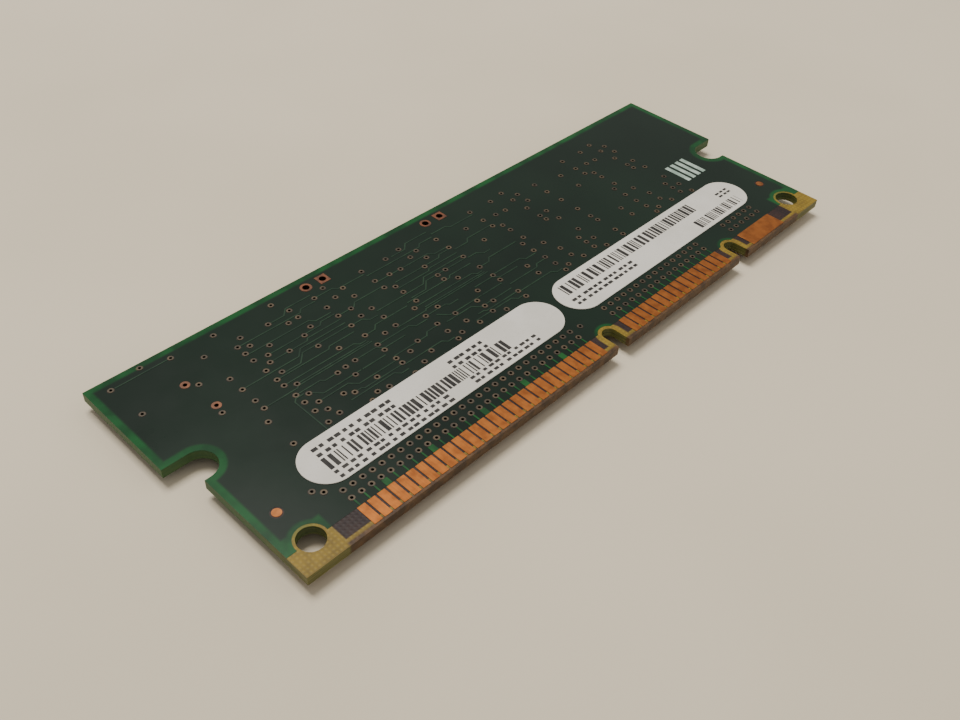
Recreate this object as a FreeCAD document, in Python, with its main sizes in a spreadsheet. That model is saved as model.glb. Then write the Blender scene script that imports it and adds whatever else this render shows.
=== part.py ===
import FreeCAD, Part
import math
import os
from types import SimpleNamespace

import Sketcher

# A 100-contact memory module: a four-layer circuit board with four thin memory packages and small
# parts soldered to its lower face, gold contacts along one long edge, and two paper labels on top.
#
# Frame: +X along the contact edge, +Y from the contact edge to the far edge, +Z up to the labelled
# face. The origin is under the middle of the board, on the plane of the package tops, which is what
# the module rests on when it lies with its labels up. Sketches of the board measure Y from the
# contact edge, and each board body is moved back by half the board's height.

SIZES = (
    # board outline
    ("board_length", 94.8, "length above the latch notches"),
    ("shoulder_length", 90.17, "length below the latch notches"),
    ("board_height", 34.6, "from the contact edge to the far edge"),
    ("notch_height", 17.8, "middle of a latch notch above the contact edge"),
    ("notch_radius", 2.0, "half the width of a latch notch, and the radius of its round end"),
    ("notch_depth", 2.7, "from the shoulder's end face to the bottom of a latch notch"),
    ("corner_hole_radius", 1.5, "bare hole at each end of the contact edge"),
    ("corner_hole_inset", 3.0, "hole centre from the shoulder's end face"),
    ("corner_hole_height", 3.15, "hole centre above the contact edge"),
    ("key_slot_width", 2.0, "slot that keys the socket"),
    ("key_slot_depth", 3.1, "slot's round top above the contact edge"),
    # layers, from the bottom up
    ("core_thickness", 0.7, "middle glass-epoxy core"),
    ("prepreg_thickness", 0.2, "resin layer between a plane and the outer copper"),
    ("plane_thickness", 0.035, "inner copper plane"),
    ("foil_thickness", 0.05, "outer copper with its plating"),
    ("mask_thickness", 0.02, "solder mask beside the copper"),
    ("plane_setback", 0.8, "inner planes from the board's edges"),
    ("tongue_length", 79.6, "part of the planes that runs under the contacts"),
    ("tongue_setback", 0.85, "planes from the contact edge"),
    ("plane_shoulder", 4.9, "planes beside the tongue above the contact edge"),
    ("plane_gap", 0.25, "planes from a plated hole"),
    ("mask_gap", 0.06, "mask from bare copper"),
    ("hole_margin", 0.3, "mask from a corner hole or key slot"),
    # contact edge
    ("contact_pitch", 1.27, "contact to contact"),
    ("contact_width", 1.02, "one contact"),
    ("contact_reach", 2.66, "length of a contact"),
    ("contact_setback", 0.3, "contacts from the board's edge"),
    ("contacts_a", 28, "contacts in the long group"),
    ("contacts_b", 16, "contacts in the middle group"),
    ("contacts_c", 6, "contacts in the short group"),
    ("group_gap", 6.35, "last contact of a group to the first of the next"),
    ("tail_width", 0.2, "copper from a contact to its via"),
    ("wide_tail_width", 0.75, "the same for a supply contact"),
    ("near_row", 4.26, "first row of contact vias above the contact edge"),
    ("far_row", 5.56, "second row of contact vias above the contact edge"),
    # plated holes
    ("via_hole_radius", 0.175, "finished via hole"),
    ("via_wall", 0.035, "plating in a via"),
    ("via_pad_radius", 0.36, "ring of a via"),
    ("power_hole_radius", 0.25, "finished hole of a supply via"),
    ("power_pad_radius", 0.55, "ring of a supply via"),
    ("header_hole_radius", 0.45, "finished hole for a header pin"),
    ("header_pad_width", 1.5, "land round a header hole"),
    ("header_pitch", 2.54, "round land to square land"),
    ("header_height", 32.65, "header holes above the contact edge"),
    ("header_left", -19.1, "round land of the left pair"),
    ("header_step", 19.8, "left pair to right pair"),
    ("fiducial_radius", 0.525, "round alignment mark"),
    ("fiducial_across", 85.0, "mark to mark"),
    ("fiducial_height", 7.8, "marks above the contact edge"),
    ("trace_width", 0.15, "signal trace"),
    # memory packages
    ("package_pitch", 19.05, "package to package"),
    ("package_shift", 1.425, "middle of the row of packages from the middle of the board"),
    ("package_middle", 21.5, "middle of the packages above the contact edge"),
    ("package_length", 22.22, "moulded body along the board's height"),
    ("package_width", 10.16, "moulded body along the contact edge"),
    ("package_thickness", 1.0, "moulded body"),
    ("package_standoff", 0.12, "moulded body to the board's copper"),
    ("lead_pitch", 0.8, "lead to lead"),
    ("leads_per_side", 27, "leads on each long side"),
    ("lead_width", 0.35, "one lead"),
    ("lead_span", 11.76, "toe to toe"),
    ("lead_inside", 1.2, "length of a lead inside the mould"),
    ("die_from_end", 2.61, "silicon die from each end of the mould"),
    ("die_from_side", 1.98, "silicon die from each side of the mould"),
    # serial package
    ("serial_x", -38.8, "middle of the serial package from the middle of the board"),
    ("serial_middle", 11.0, "middle of the serial package above the contact edge"),
    ("serial_length", 3.0, "moulded body along the board's height"),
    ("serial_width", 4.4, "moulded body along the contact edge"),
    ("serial_thickness", 0.9, "moulded body"),
    ("serial_pitch", 0.65, "lead to lead"),
    ("serial_leads_per_side", 4, "leads on each side"),
    ("serial_lead_width", 0.25, "one lead"),
    ("serial_span", 6.4, "toe to toe"),
    ("serial_inside", 0.6, "length of a lead inside the mould"),
    ("serial_die_from_end", 0.7, "silicon die from each end of the mould"),
    ("serial_die_from_side", 1.25, "silicon die from each side of the mould"),
    # both kinds of package
    ("lead_thickness", 0.125, "lead frame"),
    ("foot_length", 0.5, "flat foot of a lead"),
    ("lead_bend", 0.06, "how far a bend's outer side runs past its inner side"),
    ("lead_knee", 0.16, "end of the mould to the first bend of a lead"),
    ("land_margin", 0.2, "land beyond the foot, all round"),
    ("die_thickness", 0.25, "silicon die"),
    ("paddle_margin", 0.3, "die paddle beyond the die"),
    ("wire_radius", 0.0125, "gold bond wire"),
    ("mould_taper", 7.0, "draft of the mould's sides, in degrees"),
    # small parts
    ("capacitor_length", 1.6, "decoupling capacitor"),
    ("capacitor_width", 0.8, "decoupling capacitor"),
    ("capacitor_thickness", 0.8, "decoupling capacitor"),
    ("capacitor_cap", 0.3, "metal end cap"),
    ("capacitor_from_package", 8.45, "capacitor's middle from its package's middle"),
    ("resistor_length", 3.2, "resistor pack along the contact edge"),
    ("resistor_width", 1.6, "resistor pack along the board's height"),
    ("resistor_thickness", 0.5, "resistor pack"),
    ("resistor_cap", 0.3, "metal end of one resistor"),
    ("resistor_cap_width", 0.5, "metal end of one resistor"),
    ("resistor_pitch", 0.8, "resistor to resistor inside a pack"),
    ("resistors_per_pack", 4, "resistors in one pack"),
    ("resistor_middle", 8.1, "middle of the packs above the contact edge"),
    ("coating_thickness", 0.05, "black coat over a resistor pack"),
    ("solder_reach", 0.18, "solder fillet's foot on the land"),
    # labels and marks
    ("label_length", 38.1, "paper label"),
    ("label_height", 6.35, "paper label"),
    ("label_thickness", 0.09, "paper label"),
    ("label_gap", 1.05, "between the two labels"),
    ("label_shift", 0.68, "middle of the pair from the middle of the board"),
    ("label_middle", 9.57, "middle of the labels above the contact edge"),
    ("ink_thickness", 0.015, "printed white marks"),
    ("mark_x", 37.6, "middle of the printed panel from the middle of the board"),
    ("mark_middle", 17.2, "middle of the printed panel above the contact edge"),
    ("mark_length", 4.2, "printed panel"),
    ("mark_bar", 0.7, "bar of the printed panel"),
    ("dot_radius", 0.25, "printed dot at a package's first lead"),
    ("dot_gap", 0.7, "dot's middle from the toes of the leads"),
    ("end_line_width", 0.15, "printed line at each end of a package"),
    ("end_line_gap", 0.25, "line's middle from the end of the package"),
)

# Heights of field vias above the contact edge, in columns measured from a package's middle.
FIRST_FIELD = (
    (-8.7, (17.86, 13.7)),
    (-7.8, (30.6, 25.8, 23.57, 21.28, 19.74)),
    (-4.2, (29.4, 27.95, 26.45, 24.2, 22.26, 21.03, 19.0, 17.53, 15.8, 13.6)),
    (-3.05, (30.53, 28.7, 25.0, 22.9, 20.28, 18.28, 16.6, 15.1)),
    (-2.5, (26.1, 13.84)),
    (-1.4, (27.3,)),
    (-0.35, (25.03, 15.74)),
    (0.65, (30.26, 15.07)),
    (1.25, (18.63, 12.8)),
    (2.5, (28.86, 25.97, 23.5, 18.78, 17.1, 13.47)),
    (3.95, (30.59, 28.95, 26.7, 21.63, 18.88, 15.2, 13.2)),
    (7.5, (30.38, 28.05, 26.0, 23.65, 21.28, 19.1, 17.93, 16.0, 15.0, 12.8)),
    (9.45, (31.2, 28.86, 26.0, 24.2, 20.03, 15.78, 13.47)),
    (11.25, (29.6, 27.5, 24.4, 22.26, 20.2, 16.5, 14.24)),
)
NEXT_FIELD = (
    (-4.1, (30.5, 28.0, 26.3, 20.95, 19.03, 17.1, 15.36, 13.6)),
    (-3.0, (25.5, 24.1, 21.84, 14.1)),
    (-1.9, (27.8, 19.3)),
    (-1.2, (15.2, 17.03)),
    (-0.2, (13.95, 27.65, 30.4)),
    (2.35, (30.8, 28.6, 26.0, 23.65, 22.55, 16.9, 15.6, 14.3)),
    (3.8, (29.1, 27.2, 23.8, 21.6, 18.2, 15.6, 13.4)),
    (7.35, (29.1, 26.8, 24.2, 21.3, 19.0, 17.8, 14.8, 13.5)),
    (11.9, (28.2, 24.9, 17.4, 15.5)),
)
# Contacts of the long group, counted from its left end, that carry supply.
SUPPLY_CONTACTS = (4, 9, 15, 20, 25)
# The last package has no columns beyond this distance from its middle.
LAST_COLUMN = 7
# Vias at the left end of the board, from its middle and from the contact edge.
END_VIAS = (
    (-45.05, 32.9), (-37.7, 32.95), (-41.0, 33.85), (-32.15, 32.9), (-24.2, 32.8),
    (-37.85, 27.35), (-44.55, 27.65), (-38.5, 22.2), (-38.5, 7.5), (-37.7, 6.65), (-0.25, 5.4),
)
POWER_VIAS = ((-38.95, 28.3), (-38.3, 23.5))

# Signal traces of the upper face as (start, stop, height, jog place, jog rise), from the middle of
# the first package and from the contact edge. A trace turns 45 degrees at its jog.
BUS_TRACES = (
    (-7.75, 7.3, 23.57, -0.2, 0.95),
    (-7.9, 7.4, 19.74, -3.4, 0.22),
    (-3.05, 7.4, 22.6, -0.7, 1.2),
    (-4.05, 7.0, 22.26, 3.0, 0.35),
    (-4.15, 7.0, 21.03, 5.6, -0.5),
    (-3.05, 7.1, 20.28, 5.9, -0.08),
    (-4.05, 0.9, 19.0, -0.9, -0.37),
    (-3.05, 7.0, 18.28, -2.9, -1.05),
    (-3.05, 7.2, 16.6, 1.0, -0.85),
    (0.65, 7.4, 15.07, 1.6, -0.25),
    (3.95, 10.9, 18.88, 7.0, -0.7),
    (-4.2, 7.3, 29.4, 4.6, 0.5),
    (-4.2, 7.3, 27.65, 4.4, -0.6),
    (0.65, 7.5, 30.26, 2.9, 0.9),
    (-2.5, 7.4, 26.1, 4.9, 0.45),
    (-3.05, 7.3, 25.0, 2.1, 0.35),
    (-0.4, 7.4, 14.4, 5.7, -0.6),
    (2.5, 10.9, 17.1, 3.4, 0.45),
    (7.6, 14.8, 30.38, 10.2, -0.5),
    (7.6, 14.9, 26.0, 9.9, 0.6),
    (7.6, 11.0, 23.65, 9.1, -0.7),
    (7.6, 14.6, 21.28, 9.0, 0.6),
    (7.6, 14.7, 19.1, 12.3, -0.6),
    (7.6, 14.9, 16.4, 12.6, 0.5),
    (7.6, 14.8, 14.6, 13.2, -0.55),
)


class Size:
    """A length with its value and the sheet formula that gives it."""

    def __init__(self, value, formula):
        self.value = value
        self.formula = formula

    @staticmethod
    def of(item):
        return item if isinstance(item, Size) else Size(item, repr(item))

    def __add__(self, other):
        other = Size.of(other)
        return Size(self.value + other.value, f"({self.formula} + {other.formula})")

    def __sub__(self, other):
        other = Size.of(other)
        return Size(self.value - other.value, f"({self.formula} - {other.formula})")

    def __mul__(self, other):
        other = Size.of(other)
        return Size(self.value * other.value, f"({self.formula} * {other.formula})")

    def __truediv__(self, other):
        other = Size.of(other)
        return Size(self.value / other.value, f"({self.formula} / {other.formula})")

    def __neg__(self):
        return Size(-self.value, f"(0 - {self.formula})")


doc = FreeCAD.newDocument("memory_module")
sheet = doc.addObject("Spreadsheet::Sheet", "Sizes")
for row, (alias, value, note) in enumerate(SIZES, 1):
    sheet.set(f"A{row}", note)
    sheet.set(f"B{row}", str(value))
    sheet.setAlias(f"B{row}", alias)
doc.recompute()
d = SimpleNamespace(**{alias: Size(float(sheet.get(alias)), f"Sizes.{alias}") for alias, _, _ in SIZES})

# Levels above the package tops.
SEAT = d.package_thickness + d.package_standoff
LAMINATE = SEAT + d.foil_thickness
POWER = LAMINATE + d.prepreg_thickness
CORE = POWER + d.plane_thickness
GROUND = CORE + d.core_thickness
TOP = GROUND + d.plane_thickness + d.prepreg_thickness
COPPER_TOP = TOP + d.foil_thickness
LOWER_MASK = LAMINATE - d.mask_thickness
INK = TOP + d.mask_thickness

# Places along X, and heights above the contact edge.
EDGE = -d.board_height / 2
ROW = (d.contacts_a + d.contacts_b + d.contacts_c - 3) * d.contact_pitch + d.group_gap * 2
START_A = -ROW / 2
END_A = START_A + (d.contacts_a - 1) * d.contact_pitch
START_B = END_A + d.group_gap
END_B = START_B + (d.contacts_b - 1) * d.contact_pitch
START_C = END_B + d.group_gap
KEY_SLOTS = (END_A + d.group_gap / 2, END_B + d.group_gap / 2)
CONTACT_TOP = d.contact_setback + d.contact_reach
GROUPS = ((START_A, d.contacts_a), (START_B, d.contacts_b), (START_C, d.contacts_c))
PACKAGE_COUNT = 4
PACKAGES = [d.package_shift + d.package_pitch * (index - (PACKAGE_COUNT - 1) / 2)
            for index in range(PACKAGE_COUNT)]

nodes = []


def bind(item, **places):
    """Tie properties of an object to sheet formulas; x, y and z are its place."""
    for name, size in places.items():
        target = f"Placement.Base.{name}" if name in "xyz" else name
        item.setExpression(target, Size.of(size).formula)


def node(item, name):
    """Name an object as one of the sub-parts that are written out."""
    item.Label = name
    nodes.append(item)
    return item


def origin_feature(body, role):
    return next(feature for feature in body.Origin.OriginFeatures if feature.Role == role)


def new_body(name, x=0.0, y=0.0, z=0.0):
    """An empty body that may hold several separate solids."""
    body = doc.addObject("PartDesign::Body", name)
    body.AllowCompound = True
    bind(body, x=x, y=y, z=z)
    return body


def board_body(name, level):
    """A body whose sketches measure from the contact edge."""
    return new_body(name, y=EDGE, z=level)


def new_sketch(body, plane="XY_Plane"):
    sketch = body.newObject("Sketcher::SketchObject", body.Name + "_sketch")
    sketch.AttachmentSupport = [(origin_feature(body, plane), "")]
    sketch.MapMode = "FlatFace"
    return sketch


def hold(sketch, geometry, vertex, x=None, y=None):
    """Keep a vertex of a sketch at its distances from the origin."""
    for kind, place in (("DistanceX", x), ("DistanceY", y)):
        if place is None:
            continue
        place = Size.of(place)
        index = sketch.addConstraint(Sketcher.Constraint(kind, -1, 1, geometry, vertex, place.value))
        sketch.setExpression(f"Constraints[{index}]", place.formula)


def vector(x, y):
    return FreeCAD.Vector(Size.of(x).value, Size.of(y).value, 0)


def outline(sketch, points, arcs=()):
    """Closed outline through points; an arc replaces the side that leaves each point in arcs.

    arcs maps the number of a point to the arc's centre; its arc is half a circle that runs
    clockwise, so it bites into an outline that runs the other way.
    """
    arcs = dict(arcs)
    first = sketch.GeometryCount
    count = len(points)
    for index, point in enumerate(points):
        after = points[(index + 1) % count]
        if index in arcs:
            centre = vector(*arcs[index])
            start = vector(*point) - centre
            angle = math.atan2(start.y, start.x)
            circle = Part.Circle(centre, FreeCAD.Vector(0, 0, 1), start.Length)
            sketch.addGeometry(Part.ArcOfCircle(circle, angle - math.pi, angle), False)
        else:
            sketch.addGeometry(Part.LineSegment(vector(*point), vector(*after)), False)
    # An arc is drawn anticlockwise, so its start lies at the outline's next point.
    begins = [2 if index in arcs else 1 for index in range(count)]
    ends = [1 if index in arcs else 2 for index in range(count)]
    joins = []
    for index in range(count):
        after = (index + 1) % count
        joins.append(Sketcher.Constraint("Coincident", first + index, ends[index],
                                         first + after, begins[after]))
    sketch.addConstraint(joins)
    for index, (x, y) in enumerate(points):
        hold(sketch, first + index, begins[index], x, y)
    for index, (x, y) in arcs.items():
        along_x = abs(vector(*points[index]).x - vector(x, y).x) < 1e-6
        hold(sketch, first + index, 3, x if along_x else None, None if along_x else y)


def rectangle(sketch, left, bottom, right, top):
    outline(sketch, ((left, bottom), (right, bottom), (right, top), (left, top)))


def circles(sketch, centres, radius, held=True):
    """Circles of one radius; the first carries the size, and the others are equal to it."""
    first = sketch.GeometryCount
    normal = FreeCAD.Vector(0, 0, 1)
    shapes = [Part.Circle(vector(x, y), normal, radius.value) for x, y in centres]
    sketch.addGeometry(shapes, False)
    index = sketch.addConstraint(Sketcher.Constraint("Radius", first, radius.value))
    sketch.setExpression(f"Constraints[{index}]", radius.formula)
    same = [Sketcher.Constraint("Equal", first, first + step) for step in range(1, len(shapes))]
    if same:
        sketch.addConstraint(same)
    if held:
        for step, (x, y) in enumerate(centres):
            hold(sketch, first + step, 3, x, y)


def pad(body, sketch, length, taper=0.0, backwards=False):
    feature = body.newObject("PartDesign::Pad", body.Name + "_pad")
    feature.Profile = sketch
    feature.Reversed = backwards
    feature.TaperAngle = taper
    bind(feature, Length=length)
    return feature


def repeat(body, feature, count, pitch, axis="X_Axis", rows=None, row_gap=0.0):
    """Repeat a feature along one axis, and in rows along Y if asked."""
    pattern = body.newObject("PartDesign::LinearPattern", body.Name + "_pattern")
    pattern.Originals = [feature]
    pattern.Direction = (origin_feature(body, axis), [""])
    bind(pattern, Length=(count - 1) * pitch, Occurrences=count)
    if rows:
        pattern.Direction2 = (origin_feature(body, "Y_Axis"), [""])
        pattern.Occurrences2 = rows
        bind(pattern, Length2=row_gap)
    body.Tip = pattern
    return pattern


def block(name, x, y, z, length, width, height):
    """A box whose place is the middle of its lower face."""
    item = doc.addObject("Part::Box", name)
    bind(item, Length=length, Width=width, Height=height)
    bind(item, x=Size.of(x) - Size.of(length) / 2, y=Size.of(y) - Size.of(width) / 2, z=z)
    return item


def post(name, x, y, z, radius, height):
    item = doc.addObject("Part::Cylinder", name)
    bind(item, Radius=radius, Height=height, x=x, y=y, z=z)
    return item


def group(name, items):
    item = doc.addObject("Part::Compound", name)
    item.Links = items
    return item


def moved(name, item, x=0.0, y=0.0, z=0.0, turn=0.0):
    """A copy of an object in another place, turned about Z."""
    copy = group(name, [item])
    copy.Placement.Rotation = FreeCAD.Rotation(FreeCAD.Vector(0, 0, 1), turn)
    bind(copy, x=x, y=y, z=z)
    return copy


def cut(name, base, tools):
    item = doc.addObject("Part::Cut", name)
    item.Base = base
    item.Tool = tools[0] if len(tools) == 1 else group(name + "_tools", tools)
    item.Refine = False
    return item


def extrusion(name, sketch, length, y=0.0, z=0.0, x=0.0):
    item = doc.addObject("Part::Extrusion", name)
    item.Base = sketch
    item.DirMode = "Custom"
    item.Dir = FreeCAD.Vector(0, 0, 1)
    item.Solid = True
    bind(item, LengthFwd=length, x=x, y=y, z=z)
    return item


# ---- where the plated holes are --------------------------------------------------------------

FIELD_VIAS = [(Size.of(x), Size.of(y)) for x, y in END_VIAS]
for number, middle in enumerate(PACKAGES):
    columns = FIRST_FIELD if number == 0 else NEXT_FIELD
    if number == len(PACKAGES) - 1:
        columns = [column for column in columns if column[0] < LAST_COLUMN]
    for offset, heights in columns:
        FIELD_VIAS += [(middle + offset, Size.of(height)) for height in heights]
POWER_PLACES = [(Size.of(x), Size.of(y)) for x, y in POWER_VIAS]
HEADER_ROUND = [(d.header_left, d.header_height), (d.header_left + d.header_step, d.header_height)]
HEADER_SQUARE = [(x + d.header_pitch, y) for x, y in HEADER_ROUND]
HOLE_X = d.shoulder_length / 2 - d.corner_hole_inset
CORNER_HOLES = [(-HOLE_X, d.corner_hole_height), (HOLE_X, d.corner_hole_height)]
FIDUCIALS = [(-d.fiducial_across / 2, d.fiducial_height), (d.fiducial_across / 2, d.fiducial_height)]
NOTCH_X = d.shoulder_length / 2 - d.notch_depth + d.notch_radius
SLOT_RADIUS = d.key_slot_width / 2
SLOT_ROUND = d.key_slot_depth - SLOT_RADIUS
THROUGH = COPPER_TOP + 1


def contact_row_posts(name, radius):
    """Posts at every contact via, in their two rows."""
    body = new_body(name, y=EDGE)
    for start, count in GROUPS:
        sketch = new_sketch(body)
        circles(sketch, [(start, d.near_row)], radius)
        repeat(body, pad(body, sketch, THROUGH), count, d.contact_pitch,
               rows=2, row_gap=d.far_row - d.near_row)
    return body


def posts(name, places, radius, held=True):
    """Posts through the whole board at the given places."""
    sketch = doc.addObject("Sketcher::SketchObject", name + "_sketch")
    circles(sketch, places, radius, held)
    return extrusion(name, sketch, THROUGH, y=EDGE)


def hole_posts(name, growth, corner_growth):
    """Posts for every hole of the board, each larger than its drill by the growth."""
    drill = d.via_wall + growth
    return [
        contact_row_posts(name + "_contact_vias", d.via_hole_radius + drill),
        posts(name + "_field_vias", FIELD_VIAS, d.via_hole_radius + drill, held=False),
        posts(name + "_power_vias", POWER_PLACES, d.power_hole_radius + drill),
        posts(name + "_header", HEADER_ROUND + HEADER_SQUARE, d.header_hole_radius + drill),
        posts(name + "_corners", CORNER_HOLES, d.corner_hole_radius + corner_growth),
    ]


# ---- board layers ----------------------------------------------------------------------------

def board_points(bottom, keyed):
    """The board's outline, anticlockwise, and the centres of its round bites."""
    shoulder = d.shoulder_length / 2
    half = d.board_length / 2
    low = d.notch_height - d.notch_radius
    high = d.notch_height + d.notch_radius
    points = [(-shoulder, bottom)]
    arcs = {}
    for slot in KEY_SLOTS if keyed else ():
        points.append((slot - SLOT_RADIUS, bottom))
        arcs[len(points)] = (slot, SLOT_ROUND)
        points.append((slot - SLOT_RADIUS, SLOT_ROUND))
        points.append((slot + SLOT_RADIUS, SLOT_ROUND))
        points.append((slot + SLOT_RADIUS, bottom))
    points += [(shoulder, bottom), (shoulder, low)]
    arcs[len(points)] = (NOTCH_X, d.notch_height)
    points += [(NOTCH_X, low), (NOTCH_X, high), (half, high), (half, d.board_height)]
    points += [(-half, d.board_height), (-half, high)]
    arcs[len(points)] = (-NOTCH_X, d.notch_height)
    points += [(-NOTCH_X, high), (-NOTCH_X, low), (-shoulder, low)]
    return points, arcs


def board_layer(name, level, thickness, bottom=0.0, keyed=True):
    body = board_body(name, level)
    sketch = new_sketch(body)
    outline(sketch, *board_points(Size.of(bottom), keyed))
    pad(body, sketch, thickness)
    return body


def plane_layer(name, level):
    """An inner plane: set back from the board's edges, with a tongue under the contacts."""
    shoulder = d.shoulder_length / 2 - d.plane_setback
    half = d.board_length / 2 - d.plane_setback
    tongue = d.tongue_length / 2
    slot_half = SLOT_RADIUS + d.plane_setback
    slot_top = d.key_slot_depth + d.plane_setback
    step = d.notch_height + d.notch_radius + d.plane_setback * 0.75
    top = d.board_height - d.plane_setback
    points = [(-tongue, d.tongue_setback)]
    for slot in KEY_SLOTS:
        points += [(slot - slot_half, d.tongue_setback), (slot - slot_half, slot_top)]
        points += [(slot + slot_half, slot_top), (slot + slot_half, d.tongue_setback)]
    points += [(tongue, d.tongue_setback), (tongue, d.plane_shoulder)]
    points += [(shoulder, d.plane_shoulder), (shoulder, step), (half, step), (half, top)]
    points += [(-half, top), (-half, step), (-shoulder, step), (-shoulder, d.plane_shoulder)]
    points.append((-tongue, d.plane_shoulder))
    body = board_body(name + "_sheet", level)
    sketch = new_sketch(body)
    outline(sketch, points)
    pad(body, sketch, d.plane_thickness)
    notch = posts(name + "_notches", [(-NOTCH_X, d.notch_height), (NOTCH_X, d.notch_height)],
                  d.notch_radius + d.plane_setback)
    return cut(name, body, plane_posts + [notch])


drills = hole_posts("drill", 0.0, 0.0)
plane_posts = hole_posts("clearance", d.plane_gap, d.plane_gap * 2)

ground_plane = node(plane_layer("ground_plane", GROUND), "ground_plane")
power_plane = node(plane_layer("power_plane", POWER), "power_plane")

core = cut("core", board_layer("core_sheet", CORE, d.core_thickness), drills)
node(core, "core_laminate")
FILLED = d.prepreg_thickness + d.plane_thickness
upper_sheet = cut("upper_sheet_drilled", board_layer("upper_sheet", GROUND, FILLED), drills)
node(cut("upper_prepreg", upper_sheet, [ground_plane]), "upper_prepreg")
lower_sheet = cut("lower_sheet_drilled", board_layer("lower_sheet", LAMINATE, FILLED), drills)
node(cut("lower_prepreg", lower_sheet, [power_plane]), "lower_prepreg")


# ---- traces ----------------------------------------------------------------------------------

def add_trace(sketch, points, width):
    """Outline of a trace of one width along points, with mitred corners."""
    path = [vector(x, y) for x, y in points]
    half = Size.of(width).value / 2
    ways = [(after - before).normalize() for before, after in zip(path, path[1:])]
    sides = [FreeCAD.Vector(-way.y, way.x, 0) for way in ways]
    left, right = [], []
    for index, point in enumerate(path):
        before = sides[max(index - 1, 0)]
        after = sides[min(index, len(sides) - 1)]
        reach = (before + after) * (half / (1 + before.dot(after)))
        left.append(point + reach)
        right.append(point - reach)
    corners = left + right[::-1]
    lines = [Part.LineSegment(start, end) for start, end in zip(corners, corners[1:] + corners[:1])]
    sketch.addGeometry(lines, False)


def jogged(middle, start, stop, height, place, rise):
    """A level trace that steps up or down at 45 degrees on its way."""
    reach = abs(rise)
    return [(middle + start, height), (middle + place, height),
            (middle + place + reach, height + rise), (middle + stop, height + rise)]


def traces(name, paths, level, ring_posts):
    """Traces of one face, ended where they meet the rings of vias."""
    sketch = doc.addObject("Sketcher::SketchObject", name + "_sketch")
    for path in paths:
        add_trace(sketch, path, d.trace_width)
    run = extrusion(name + "_run", sketch, d.foil_thickness, y=EDGE, z=level)
    return cut(name, run, ring_posts)


def tails(name, level):
    """Copper from each contact of the two longer groups to its via."""
    body = board_body(name, level)
    ring_low = d.near_row - d.via_pad_radius
    for start, count in GROUPS[:2]:
        sketch = new_sketch(body)
        half = d.tail_width / 2
        rectangle(sketch, start - half, CONTACT_TOP, start + half, ring_low)
        repeat(body, pad(body, sketch, d.foil_thickness), count, d.contact_pitch)
    for number in SUPPLY_CONTACTS:
        middle = START_A + d.contact_pitch * (number - 1)
        sketch = new_sketch(body)
        half = d.wide_tail_width / 2
        rectangle(sketch, middle - half, CONTACT_TOP, middle + half, ring_low)
        pad(body, sketch, d.foil_thickness)
    return body


rings = [
    contact_row_posts("ring_contact_vias", d.via_pad_radius),
    posts("ring_field_vias", FIELD_VIAS, d.via_pad_radius, held=False),
    posts("ring_power_vias", POWER_PLACES, d.power_pad_radius),
]
upper_paths = []
for middle in PACKAGES[:2]:
    upper_paths += [jogged(middle, *track) for track in BUS_TRACES]
upper_paths.append([(-44.6, 32.9), (-38.1, 32.95)])
upper_paths.append([(-32.1, 12.8), (-32.1, 18.2), (-31.7, 18.6), (-30.6, 18.6)])
upper_traces = node(traces("upper_traces", upper_paths, TOP, rings), "upper_traces")
upper_tails = node(tails("upper_tails", TOP), "upper_contact_tails")
lower_tails = node(tails("lower_tails", SEAT), "lower_contact_tails")



def lower_paths():
    """Each long-group and middle-group contact's trace from its far via to its resistor."""
    low = d.resistor_middle - d.resistor_width / 2 - d.land_margin
    start_y = d.far_row + d.via_pad_radius
    paths = []
    for start, count in GROUPS[:2]:
        for index in range(int(count.value)):
            x = start + d.contact_pitch * index
            pack, place = divmod(index, int(d.resistors_per_pack.value))
            middle = pack_middle(start, pack)
            pin = middle + d.resistor_pitch * (place - (d.resistors_per_pack.value - 1) / 2)
            paths.append([(x, start_y), (x, start_y + 0.15), (pin, low - 0.15), (pin, low)])
    return paths


def pack_middle(start, pack):
    """Place along X of the resistor pack that serves the contacts of one set."""
    per_pack = d.resistors_per_pack
    return start + d.contact_pitch * ((per_pack - 1) / 2) + d.contact_pitch * per_pack * pack


lower_traces = node(traces("lower_traces", lower_paths(), SEAT, rings), "lower_traces")


# ---- copper on the board's faces -------------------------------------------------------------

def contacts(name, start, count, level):
    """A group of equal contacts along the edge."""
    body = board_body(name, level)
    sketch = new_sketch(body)
    half = d.contact_width / 2
    rectangle(sketch, start - half, d.contact_setback, start + half, CONTACT_TOP)
    repeat(body, pad(body, sketch, d.foil_thickness), count, d.contact_pitch)
    return node(body, name)


contacts("upper_contacts_a", START_A, d.contacts_a, TOP)
contacts("upper_contacts_b", START_B, d.contacts_b, TOP)
contacts("lower_contacts_a", START_A, d.contacts_a, SEAT)
contacts("lower_contacts_b", START_B, d.contacts_b, SEAT)
contacts("lower_contacts_c", START_C, d.contacts_c, SEAT)
WIDE_MIDDLE = START_C + (d.contacts_c - 1) * d.contact_pitch / 2
WIDE_LENGTH = (d.contacts_c - 1) * d.contact_pitch + d.contact_width
wide = block("upper_wide", WIDE_MIDDLE, EDGE + d.contact_setback + d.contact_reach / 2, TOP,
             WIDE_LENGTH, d.contact_reach, d.foil_thickness)
node(wide, "upper_wide_contact")
for name, level in (("upper_fiducials", TOP), ("lower_fiducials", SEAT)):
    dots = [post(f"{name}_{side}", x, EDGE + y, level, d.fiducial_radius, d.foil_thickness)
            for side, (x, y) in enumerate(FIDUCIALS)]
    node(group(name, dots), name)


# ---- solder mask -----------------------------------------------------------------------------

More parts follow.
